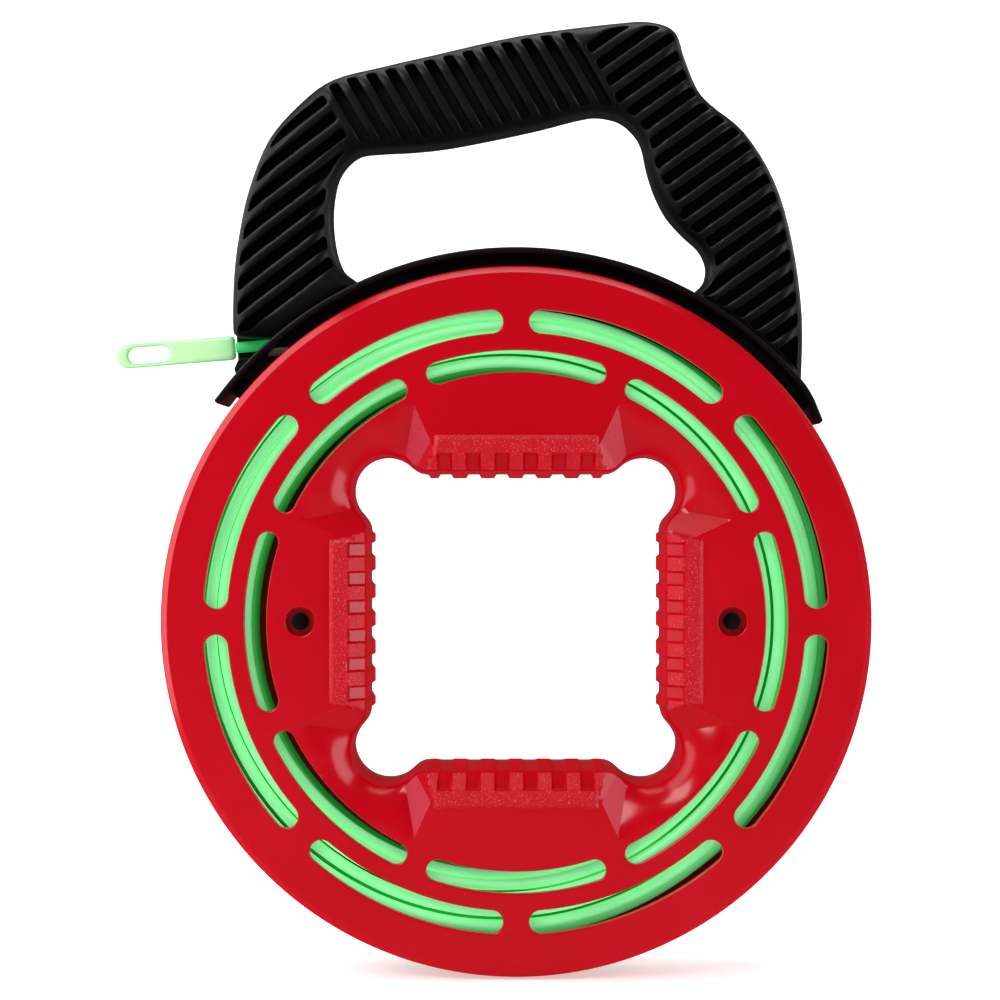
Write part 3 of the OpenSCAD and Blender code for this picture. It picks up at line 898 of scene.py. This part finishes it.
saddle = arc_bar("handle_saddle", SADDLE_R - SADDLE_T, SADDLE_R, SADDLE_HALF_W, *SADDLE_SPAN,
                 0.8, BLACK, SADDLE_LEAN)
web = arc_bar("handle_web", WEB_LOW_R, SADDLE_R - 1, WEB_HALF_W, *WEB_SPAN, 0.4, BLACK)
foot = arc_bar("handle_foot", *FOOT_R, FOOT_HALF_W, *FOOT_SPAN, 0.6, BLACK)
mouth_arc = [tuple(v) for v in arc(153.3, 132, 137.7, 6)]
jaw = [(-119.8, 113.1), (-119.8, 112.5), (-121.6, 108.5), (-120.6, 105), (-118.7, 105.2)]
lower_jaw = plate_piece("handle_jaw", jaw + mouth_arc[::-1], -MOUTH_HALF_W, MOUTH_HALF_W, 0.8, BLACK)
back_wall = [(-121.6, 109), (-122.6, 124), (-99, 126), (-100, 116.2), (-104, 112.6), (-110, 108)]
mouth_back = plate_piece("handle_mouth_back", back_wall, 3.4, MOUTH_HALF_W, 0.6, BLACK)
for piece in (saddle, web, foot, lower_jaw, mouth_back):
    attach(piece, "handle")
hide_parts("handle")

# ---------------------------------------------------------------- tape
TAPE_R = 2.38
WIND_R = 128
RUN_ANGLE = math.radians(4.7)
RUN_START = np.array([-WIND_R * math.sin(RUN_ANGLE), 0, WIND_R * math.cos(RUN_ANGLE)])
RUN_DIRECTION = np.array([-math.cos(RUN_ANGLE), 0, -math.sin(RUN_ANGLE)])
RUN_LENGTH = 112.4
RUN_END_GAP = 0.3
LEADER_LENGTH = 52.1
STEPS_A_TURN = 120
SMOOTHED_STEPS = 25
FIRST_LOOSE_TURN = 1
LAST_LOOSE_TURN = 15.2
LOOSENING_TURNS = 1.5
LAST_SLID_TURN = 12
SLID_BY = 5.3
# The tape's way through the case: turns from its anchored end, radius and depth.
tape_turns = [0, 0.9, 1.6, 5, 6, 6.7, 10.8, 11.5, 13, 13.7, 14.8, 15.3, 15.57]
tape_radii = [107, 107, 112, 132, 134, 131.8, 109.6, 109, 122, 131, 131, 128, 128]
tape_depths = [9, 9, 13, 18, -13, -21.3, -21.3, -13, -13, -13, -11, -3, 0]


def tube(name, path, radius, material, sides=12):
    """A tube along a path, with rounded ends."""
    path = np.asarray(path, float)
    tangent = np.gradient(path, axis=0)
    tangent /= np.linalg.norm(tangent, axis=1, keepdims=True)
    across = np.cross(tangent, np.array([0, 1.0, 0]))
    across /= np.linalg.norm(across, axis=1, keepdims=True)
    up = np.cross(across, tangent)
    turn = np.arange(sides) * 2 * math.pi / sides
    rings = (path[:, None] + radius * (across[:, None] * np.cos(turn)[None, :, None]
                                       + up[:, None] * np.sin(turn)[None, :, None]))
    n = len(path)
    faces = []
    for i in range(n - 1):
        for j in range(sides):
            a, b = i * sides + j, i * sides + (j + 1) % sides
            faces.append((a, a + sides, b + sides, b))
    faces.append(tuple(range(sides)))
    faces.append(tuple((n - 1) * sides + j for j in range(sides))[::-1])
    return mesh_piece(name, rings.reshape(-1, 3), faces, material, 60)


def wound_path():
    """The centre line of the wound tape. It lies loosely: the turns waver a little, and all but the last
    few have slid to the left in the case. Both ends are held, so they lie true."""
    turns = np.arange(0, tape_turns[-1], 1 / STEPS_A_TURN)
    turns = np.append(turns, tape_turns[-1])
    radii = np.interp(turns, tape_turns, tape_radii)
    padded = np.pad(np.interp(turns, tape_turns, tape_depths), SMOOTHED_STEPS // 2, mode="edge")
    depths = np.convolve(padded, np.ones(SMOOTHED_STEPS) / SMOOTHED_STEPS, "valid")
    angle = math.pi / 2 + RUN_ANGLE - (tape_turns[-1] - turns) * 2 * math.pi
    loose = np.clip((LAST_LOOSE_TURN - turns) / LOOSENING_TURNS, 0, 1)
    loose = loose * np.clip((turns - FIRST_LOOSE_TURN) / LOOSENING_TURNS, 0, 1)
    slid = SLID_BY * np.clip((LAST_SLID_TURN - turns) / 0.6, 0, 1)
    wavering = 0.5 * np.sin(2 * angle + 0.6) + 0.7 * np.sin(0.83 * angle)
    radii = radii + loose * (wavering - slid * np.cos(angle))
    depths = depths + loose * 0.9 * np.sin(1.31 * angle)
    return np.stack([radii * np.cos(angle), depths, radii * np.sin(angle)], 1)


coil = tube("tape_wound", wound_path(), TAPE_R, TAPE)
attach(coil, "case")
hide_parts("tape_coil")

run_steps = np.linspace(0, RUN_LENGTH - RUN_END_GAP, 60)
run = tube("tape_straight", RUN_START + RUN_DIRECTION * run_steps[:, None], TAPE_R, SHADED_RUN_TAPE)
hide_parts("tape_run")
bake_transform(run)

# ---------------------------------------------------------------- leader
EYE_LENGTH = 17.9
EYE_HALF_W = 3.5
EYE_MARGIN = 5.2
LEADER_HALF_W = 5.3
LEADER_HALF_T = 2.5
LEADER_ROUND = 1.9
LEADER_RIM = 0.15
LEADER_SHADED_EDGE = 0.9
SHOULDER_ROUND = 2
SHOULDER_SHADE = 8


def capsule_distance(p, start, end, radius):
    """Positive inside a bar with round ends, which lies along x."""
    x = np.clip(p[:, 0], start + radius, end - radius)
    return radius - np.hypot(p[:, 0] - x, p[:, 1])


def leader_distance(p):
    """Positive inside the eyelet. It starts at the tape's end with small corners and ends with a round
    tip."""
    bar = capsule_distance(p, -LEADER_HALF_W, LEADER_LENGTH, LEADER_HALF_W)
    eye_end = LEADER_LENGTH - EYE_MARGIN
    eye = capsule_distance(p, eye_end - EYE_LENGTH, eye_end, EYE_HALF_W)
    return np.minimum(smooth_min(bar, p[:, 0], SHOULDER_ROUND), -eye)


def leader_height(depth):
    inward = np.clip(depth / LEADER_ROUND, 0, 1)
    return LEADER_HALF_T * np.sqrt(1 - (1 - inward) ** 2)


def leader_piece():
    """The moulded eyelet: two rounded halves, made along x and then turned into line with the tape."""
    def region(p):
        return leader_distance(p) - LEADER_RIM

    step = 0.35
    along, across = np.arange(-0.9, LEADER_LENGTH + 1, step), np.arange(-5.6, 5.9, step)
    plane, triangles = trimmed_sheet(region, along, across)
    relief = Relief()
    centre = plane[triangles].mean(1)
    # Painted shade: faces near the leader's outline and near its shoulder get a value that its material
    # paints darker green with less glow.
    rim = np.clip(1.5 - 1.5 * leader_distance(centre) / LEADER_SHADED_EDGE, 0, 1)
    rim = np.maximum(rim, 0.6 * np.clip(1 - centre[:, 0] / SHOULDER_SHADE, 0, 1))
    start = relief.add(plane, leader_height(leader_distance(plane)), triangles, rim)
    for loop in edge_loops(triangles):
        profile = [(LEADER_RIM * k, float(leader_height(LEADER_RIM * (1 - k)))) for k in (0.5, 0.85, 1)]
        relief.wall(loop, plane, region, profile, start)
    piece = relief.piece("leader_eyelet", 0, LEADER, 50)
    down = np.array([math.sin(RUN_ANGLE), 0, -math.cos(RUN_ANGLE)])
    turned = Matrix(np.stack([RUN_DIRECTION, (0, 1, 0), down], 1).tolist()).to_4x4()
    shoulder = Vector(RUN_START + RUN_DIRECTION * RUN_LENGTH) * MM
    piece.data.transform(Matrix.Translation(shoulder) @ turned)
    return piece


leader = leader_piece()
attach(leader, "tape_end")
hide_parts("leader")

# ---------------------------------------------------------------- CAD nodes that stay
for node, material, edge in (("case_screw_left", BLACK_OXIDE, 0.35),
                             ("case_screw_right", BLACK_OXIDE, 0.35),
                             ("tape_guide", GUIDE, 0.3), ("tape_ferrule", STEEL, 0.3),
                             ("anchor_clip", STEEL, 0.2), ("anchor_screw", STEEL, 0.2)):
    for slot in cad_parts[node].material_slots:
        slot.material = material
    soften(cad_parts[node], edge)

# ---------------------------------------------------------------- light and floor
FLOOR_LEVEL = -152.7
COVE_START = 900
COVE_R = 500


def floor_paint():
    """White, with a glow that grows towards the back, so that the floor melts into the background."""
    m = Nodes("pale_floor", Roughness=0.6, Emission_Color=(1, 1, 1, 1))
    depth = m.add("ShaderNodeSeparateXYZ", {"Vector": m.place()}).outputs["Y"]
    shade = m.mix(m.noise(6, 2), (0.86, 0.86, 0.86, 1), (0.9, 0.9, 0.9, 1))
    return m.feed(Base_Color=shade, Emission_Strength=m.ramp(depth, 0.04, 0.55, -0.35, 0.05))


def floor_sheet():
    """A floor that curves up into a wall behind the reel."""
    profile = [(-2500, FLOOR_LEVEL), (COVE_START, FLOOR_LEVEL)]
    profile += [(COVE_START + COVE_R * math.sin(a), FLOOR_LEVEL + COVE_R * (1 - math.cos(a)))
                for a in np.radians(range(10, 91, 10))]
    profile += [(COVE_START + COVE_R, 3500)]
    points = [(x, y, z) for x in (-4000, 4000) for y, z in profile]
    count = len(profile)
    faces = [(i, i + 1, count + i + 1, count + i) for i in range(count - 1)]
    return mesh_piece("floor", points, faces, floor_paint())


floor = floor_sheet()
floor.visible_glossy = False


def soft_light(name, place, aim, size, watts):
    data = bpy.data.lights.new(name, "AREA")
    data.shape = "RECTANGLE"
    data.size, data.size_y = size[0] * MM, size[1] * MM
    data.energy = watts
    light = bpy.data.objects.new(name, data)
    light.location = Vector(place) * MM
    light.rotation_euler = (Vector(aim) - Vector(place)).to_track_quat("-Z", "Y").to_euler()
    light.visible_camera = False
    bpy.context.scene.collection.objects.link(light)


soft_light("key", (-900, -1100, 1100), (0, 0, 60), (900, 900), 16.5)
soft_light("left", (-1300, -80, 500), (0, 0, 50), (900, 2200), 14)
soft_light("right", (1300, -460, 150), (0, 0, 50), (700, 1500), 10)
soft_light("top", (0, 200, 1500), (0, 0, 0), (1400, 900), 13)
soft_light("back_left", (-1400, 1000, 700), (0, 0, 0), (800, 800), 3)
soft_light("back_right", (1400, 1000, 700), (0, 0, 0), (800, 800), 3)
world = bpy.data.worlds.new("studio")
world.use_nodes = True
backdrop = world.node_tree.nodes["Background"]
backdrop.inputs["Color"].default_value = (1, 1, 1, 1)
backdrop.inputs["Strength"].default_value = 0.07
bpy.context.scene.world = world
bpy.context.scene.view_settings.view_transform = "Standard"
